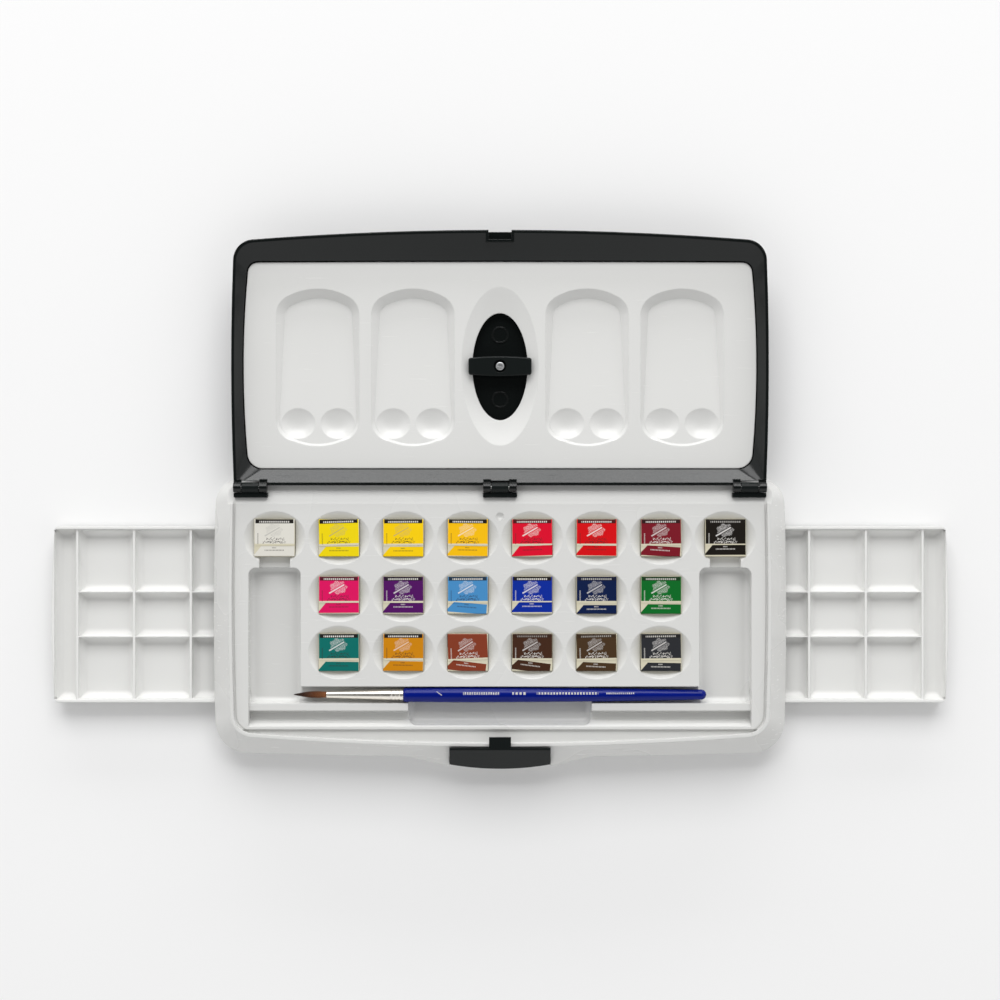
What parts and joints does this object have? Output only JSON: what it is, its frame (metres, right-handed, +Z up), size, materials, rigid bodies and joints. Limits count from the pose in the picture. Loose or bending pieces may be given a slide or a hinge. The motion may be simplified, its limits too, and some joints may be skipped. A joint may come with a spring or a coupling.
{
  "type": "watercolor pan set",
  "caption": "Flat plastic case opened out, with wrapped half pans and a brush in a white tray, pull-out side palettes, and a lid holding a removable mixing palette",
  "frame": {"origin": "centre of the case's underside, midway between the hinge axis and the front rim, on the surface that it stands on", "axes": "+X along the hinge, +Y from the latch towards the hinge, +Z up"},
  "size_m": [0.4442, 0.2645, 0.0264],
  "materials": {
    "white_plastic": "satin white moulding",
    "palette_plastic": "satin white moulding",
    "pan_plastic": "white pan plastic",
    "charcoal_plastic": "glossy charcoal moulding",
    "steel": "plain steel pin",
    "zinc": "zinc plated screw",
    "sable_hair": "brown hair",
    "nickel": "nickel plated ferrule",
    "blue_lacquer": "blue gloss lacquer on wood",
    "label_white": "printed paper wrapper",
    "label_lemon_yellow": "printed paper wrapper",
    "label_cadmium_yellow": "printed paper wrapper",
    "label_golden_yellow": "printed paper wrapper",
    "label_crimson": "printed paper wrapper",
    "label_bright_red": "printed paper wrapper",
    "label_alizarin": "printed paper wrapper",
    "label_black": "printed paper wrapper",
    "label_magenta": "printed paper wrapper",
    "label_purple": "printed paper wrapper",
    "label_sky_blue": "printed paper wrapper",
    "label_ultramarine": "printed paper wrapper",
    "label_indigo": "printed paper wrapper",
    "label_green": "printed paper wrapper",
    "label_viridian": "printed paper wrapper",
    "label_ochre": "printed paper wrapper",
    "label_burnt_sienna": "printed paper wrapper",
    "label_dark_brown": "printed paper wrapper",
    "label_raw_umber": "printed paper wrapper",
    "label_grey_blue": "printed paper wrapper"
  },
  "bodies": {
    "base": {"base_moulding": "white_plastic", "bottom_cover": "white_plastic", "left_hinge_block": "charcoal_plastic", "centre_hinge_block": "charcoal_plastic", "right_hinge_block": "charcoal_plastic", "hinge_pins": "steel", "latch_pin": "steel"},
    "lid": {"lid_shell": "charcoal_plastic", "lid_palette": "palette_plastic", "turn_button_screw": "zinc"},
    "turn_button": {"turn_button": "charcoal_plastic"},
    "latch": {"front_latch": "charcoal_plastic"},
    "left_tray": {"left_palette": "palette_plastic"},
    "right_tray": {"right_palette": "palette_plastic"},
    "brush": {"brush_tuft": "sable_hair", "brush_ferrule": "nickel", "brush_handle": "blue_lacquer"},
    "pan_white": {"half_pan_white": "pan_plastic", "wrapper_white": "label_white"},
    "pan_lemon_yellow": {"half_pan_lemon_yellow": "pan_plastic", "wrapper_lemon_yellow": "label_lemon_yellow"},
    "pan_cadmium_yellow": {"half_pan_cadmium_yellow": "pan_plastic", "wrapper_cadmium_yellow": "label_cadmium_yellow"},
    "pan_golden_yellow": {"half_pan_golden_yellow": "pan_plastic", "wrapper_golden_yellow": "label_golden_yellow"},
    "pan_crimson": {"half_pan_crimson": "pan_plastic", "wrapper_crimson": "label_crimson"},
    "pan_bright_red": {"half_pan_bright_red": "pan_plastic", "wrapper_bright_red": "label_bright_red"},
    "pan_alizarin": {"half_pan_alizarin": "pan_plastic", "wrapper_alizarin": "label_alizarin"},
    "pan_black": {"half_pan_black": "pan_plastic", "wrapper_black": "label_black"},
    "pan_magenta": {"half_pan_magenta": "pan_plastic", "wrapper_magenta": "label_magenta"},
    "pan_purple": {"half_pan_purple": "pan_plastic", "wrapper_purple": "label_purple"},
    "pan_sky_blue": {"half_pan_sky_blue": "pan_plastic", "wrapper_sky_blue": "label_sky_blue"},
    "pan_ultramarine": {"half_pan_ultramarine": "pan_plastic", "wrapper_ultramarine": "label_ultramarine"},
    "pan_indigo": {"half_pan_indigo": "pan_plastic", "wrapper_indigo": "label_indigo"},
    "pan_green": {"half_pan_green": "pan_plastic", "wrapper_green": "label_green"},
    "pan_viridian": {"half_pan_viridian": "pan_plastic", "wrapper_viridian": "label_viridian"},
    "pan_ochre": {"half_pan_ochre": "pan_plastic", "wrapper_ochre": "label_ochre"},
    "pan_burnt_sienna": {"half_pan_burnt_sienna": "pan_plastic", "wrapper_burnt_sienna": "label_burnt_sienna"},
    "pan_dark_brown": {"half_pan_dark_brown": "pan_plastic", "wrapper_dark_brown": "label_dark_brown"},
    "pan_raw_umber": {"half_pan_raw_umber": "pan_plastic", "wrapper_raw_umber": "label_raw_umber"},
    "pan_grey_blue": {"half_pan_grey_blue": "pan_plastic", "wrapper_grey_blue": "label_grey_blue"}
  },
  "joints": [
    {"name": "lid_hinge", "type": "hinge", "parent": "base", "child": "lid", "pos_m": [0, 0.06285, 0.024], "axis": [-1, 0, 0], "range_deg": [-180, 0]},
    {"name": "left_palette_slide", "type": "slide", "parent": "base", "child": "left_tray", "axis": [-1, 0, 0], "range_m": [-0.0806, 0]},
    {"name": "right_palette_slide", "type": "slide", "parent": "base", "child": "right_tray", "axis": [1, 0, 0], "range_m": [-0.0806, 0]},
    {"name": "turn_button_swivel", "type": "hinge", "parent": "lid", "child": "turn_button", "pos_m": [0, 0.1224, 0.0175], "axis": [0, 0, 1], "range_deg": [0, 90]},
    {"name": "latch_hinge", "type": "hinge", "parent": "base", "child": "latch", "pos_m": [0, -0.07155, 0.0096], "axis": [1, 0, 0], "range_deg": [0, 22]},
    {"name": "brush_lift", "type": "slide", "parent": "base", "child": "brush", "axis": [0, 0, 1], "range_m": [0, 0.03]},
    {"name": "pan_white_lift", "type": "slide", "parent": "base", "child": "pan_white", "axis": [0, 0, 1], "range_m": [0, 0.02]},
    {"name": "pan_lemon_yellow_lift", "type": "slide", "parent": "base", "child": "pan_lemon_yellow", "axis": [0, 0, 1], "range_m": [0, 0.02]},
    {"name": "pan_cadmium_yellow_lift", "type": "slide", "parent": "base", "child": "pan_cadmium_yellow", "axis": [0, 0, 1], "range_m": [0, 0.02]},
    {"name": "pan_golden_yellow_lift", "type": "slide", "parent": "base", "child": "pan_golden_yellow", "axis": [0, 0, 1], "range_m": [0, 0.02]},
    {"name": "pan_crimson_lift", "type": "slide", "parent": "base", "child": "pan_crimson", "axis": [0, 0, 1], "range_m": [0, 0.02]},
    {"name": "pan_bright_red_lift", "type": "slide", "parent": "base", "child": "pan_bright_red", "axis": [0, 0, 1], "range_m": [0, 0.02]},
    {"name": "pan_alizarin_lift", "type": "slide", "parent": "base", "child": "pan_alizarin", "axis": [0, 0, 1], "range_m": [0, 0.02]},
    {"name": "pan_black_lift", "type": "slide", "parent": "base", "child": "pan_black", "axis": [0, 0, 1], "range_m": [0, 0.02]},
    {"name": "pan_magenta_lift", "type": "slide", "parent": "base", "child": "pan_magenta", "axis": [0, 0, 1], "range_m": [0, 0.02]},
    {"name": "pan_purple_lift", "type": "slide", "parent": "base", "child": "pan_purple", "axis": [0, 0, 1], "range_m": [0, 0.02]},
    {"name": "pan_sky_blue_lift", "type": "slide", "parent": "base", "child": "pan_sky_blue", "axis": [0, 0, 1], "range_m": [0, 0.02]},
    {"name": "pan_ultramarine_lift", "type": "slide", "parent": "base", "child": "pan_ultramarine", "axis": [0, 0, 1], "range_m": [0, 0.02]},
    {"name": "pan_indigo_lift", "type": "slide", "parent": "base", "child": "pan_indigo", "axis": [0, 0, 1], "range_m": [0, 0.02]},
    {"name": "pan_green_lift", "type": "slide", "parent": "base", "child": "pan_green", "axis": [0, 0, 1], "range_m": [0, 0.02]},
    {"name": "pan_viridian_lift", "type": "slide", "parent": "base", "child": "pan_viridian", "axis": [0, 0, 1], "range_m": [0, 0.02]},
    {"name": "pan_ochre_lift", "type": "slide", "parent": "base", "child": "pan_ochre", "axis": [0, 0, 1], "range_m": [0, 0.02]},
    {"name": "pan_burnt_sienna_lift", "type": "slide", "parent": "base", "child": "pan_burnt_sienna", "axis": [0, 0, 1], "range_m": [0, 0.02]},
    {"name": "pan_dark_brown_lift", "type": "slide", "parent": "base", "child": "pan_dark_brown", "axis": [0, 0, 1], "range_m": [0, 0.02]},
    {"name": "pan_raw_umber_lift", "type": "slide", "parent": "base", "child": "pan_raw_umber", "axis": [0, 0, 1], "range_m": [0, 0.02]},
    {"name": "pan_grey_blue_lift", "type": "slide", "parent": "base", "child": "pan_grey_blue", "axis": [0, 0, 1], "range_m": [0, 0.02]}
  ]
}
